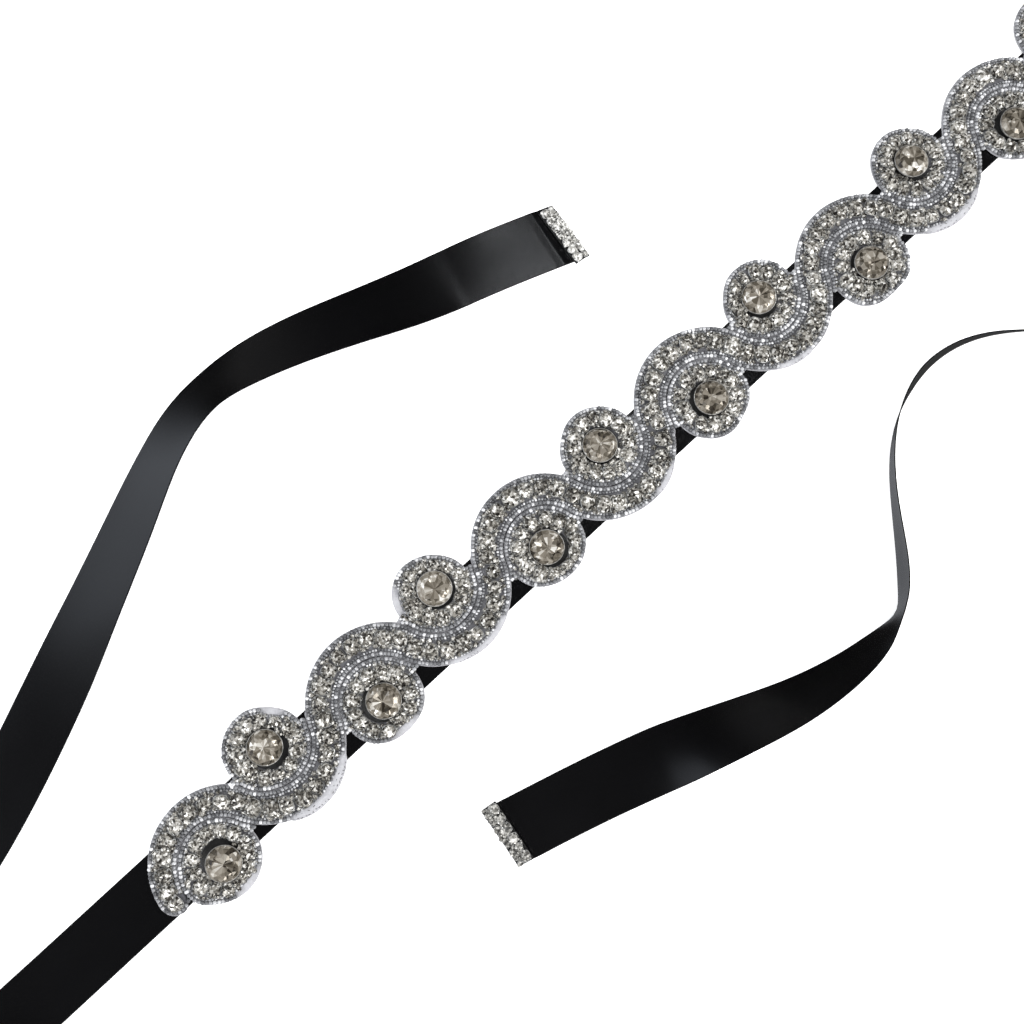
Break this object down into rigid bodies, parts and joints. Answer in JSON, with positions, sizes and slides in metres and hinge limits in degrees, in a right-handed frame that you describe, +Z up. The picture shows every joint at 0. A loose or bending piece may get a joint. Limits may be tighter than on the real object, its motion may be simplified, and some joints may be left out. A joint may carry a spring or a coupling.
{
  "type": "bridal sash",
  "caption": "Narrow satin ribbon sash, laid in loose loops, with a wave-shaped bead and stone applique along its middle and beaded bars across its ends.",
  "frame": {"origin": "middle of the laid sash's footprint, on the surface it lies on", "axes": "+X along the ribbon under the applique, +Y across it towards the left tail, +Z up"},
  "size_m": [1.1042, 0.2724, 0.025],
  "materials": {
    "ribbon": "black satin",
    "beaded_fabric": "grey fabric under claw-set stones and silver-lined seed beads",
    "stone": "foil-backed faceted glass",
    "beaded_trim": "silver-edged rows of small stones"
  },
  "bodies": {
    "root": {"ribbon_front": "ribbon", "ribbon_left_loop": "ribbon", "ribbon_left_tail": "ribbon", "ribbon_right_loop": "ribbon", "ribbon_right_tail": "ribbon", "vine": "beaded_fabric", "medallion_lower_1": "beaded_fabric", "medallion_lower_2": "beaded_fabric", "medallion_lower_3": "beaded_fabric", "medallion_lower_4": "beaded_fabric", "medallion_lower_5": "beaded_fabric", "medallion_lower_6": "beaded_fabric", "medallion_upper_1": "beaded_fabric", "medallion_upper_2": "beaded_fabric", "medallion_upper_3": "beaded_fabric", "medallion_upper_4": "beaded_fabric", "medallion_upper_5": "beaded_fabric", "medallion_upper_6": "beaded_fabric", "stone_lower_1": "stone", "stone_lower_2": "stone", "stone_lower_3": "stone", "stone_lower_4": "stone", "stone_lower_5": "stone", "stone_lower_6": "stone", "stone_upper_1": "stone", "stone_upper_2": "stone", "stone_upper_3": "stone", "stone_upper_4": "stone", "stone_upper_5": "stone", "stone_upper_6": "stone", "trim_left": "beaded_trim", "trim_right": "beaded_trim"}
  },
  "joints": []
}
